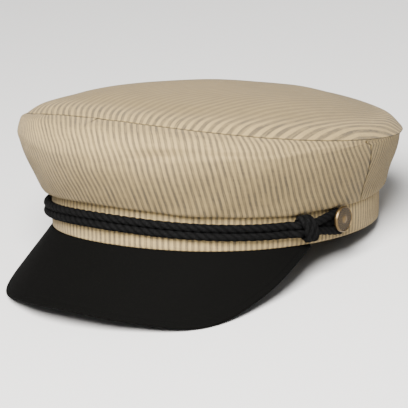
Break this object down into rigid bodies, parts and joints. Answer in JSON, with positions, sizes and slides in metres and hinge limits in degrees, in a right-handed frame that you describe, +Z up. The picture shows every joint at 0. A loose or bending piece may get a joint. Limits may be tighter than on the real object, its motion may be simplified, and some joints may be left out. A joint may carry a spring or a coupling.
{
  "type": "breton fisherman cap",
  "caption": "Soft striped cloth fisherman cap with a domed panelled crown, upright head band, black cloth peak and a black laid cord looped round brass buttons.",
  "frame": {"origin": "centre of the resting cap's bounding box at the height of the surface that it rests on", "axes": "+Z up from the surface, -Y towards the front of the cap, +X towards the wearer's left"},
  "size_m": [0.1982, 0.2556, 0.1054],
  "materials": {
    "striped_cloth": "woven cloth, fine grey-brown stripes on cream",
    "peak_cloth": "matte black twill",
    "cord": "black laid cord",
    "button_metal": "aged brass"
  },
  "bodies": {
    "root": {"crown_top": "striped_cloth", "crown_front_left": "striped_cloth", "crown_front_right": "striped_cloth", "crown_back_left": "striped_cloth", "crown_back_right": "striped_cloth", "head_band": "striped_cloth", "peak": "peak_cloth", "band_cord": "cord", "knot_left": "cord", "knot_right": "cord", "button_left": "button_metal", "button_right": "button_metal"}
  },
  "joints": []
}
